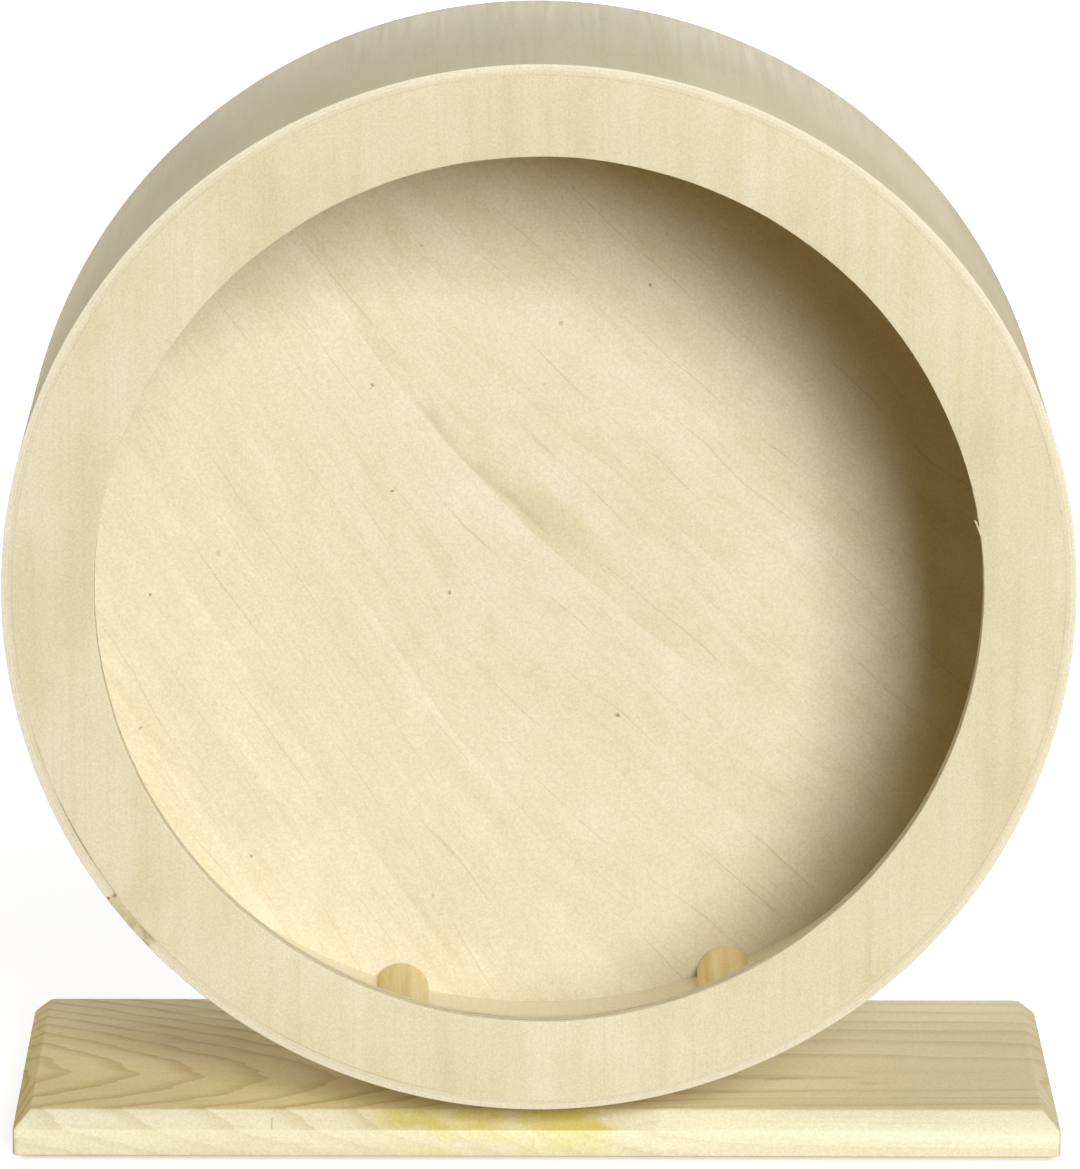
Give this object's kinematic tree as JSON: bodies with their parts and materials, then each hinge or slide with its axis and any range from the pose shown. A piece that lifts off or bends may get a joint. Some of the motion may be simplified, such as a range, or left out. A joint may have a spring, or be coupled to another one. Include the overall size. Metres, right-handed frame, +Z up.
{
  "type": "rodent exercise wheel",
  "caption": "Free-standing wooden running wheel: a closed-back plywood drum with a wide round mouth and rungs inside, turning on a steel axle in front of a bevelled pine base.",
  "frame": {"origin": "middle of the base board's underside", "axes": "+Z up, +Y from the open front of the drum towards the post behind it, +X to the right seen from the front"},
  "size_m": [0.29, 0.1317, 0.3066],
  "materials": {
    "ply_faces": "bare sanded plywood",
    "bent_ply": "bare bendy plywood",
    "rung_wood": "bare half-round moulding",
    "pine": "bare planed pine",
    "steel": "zinc plated",
    "nylon": "natural nylon"
  },
  "bodies": {
    "stand": {"base_board": "pine", "upright_post": "pine", "post_screws": "steel", "front_bush": "nylon", "rear_bush": "nylon"},
    "drum": {"front_ring": "ply_faces", "rim_strip": "bent_ply", "back_disc": "ply_faces", "axle_plate": "steel", "plate_screws": "steel", "front_washer": "steel", "rear_washer": "steel", "lock_nut": "steel", "rung_01": "rung_wood", "rung_02": "rung_wood", "rung_03": "rung_wood", "rung_04": "rung_wood", "rung_05": "rung_wood", "rung_06": "rung_wood", "rung_07": "rung_wood", "rung_08": "rung_wood", "rung_09": "rung_wood"}
  },
  "joints": [
    {"name": "wheel_spin", "type": "hinge", "parent": "stand", "child": "drum", "pos_m": [0, 0.0459, 0.1616], "axis": [0, 1, 0], "continuous": true}
  ]
}
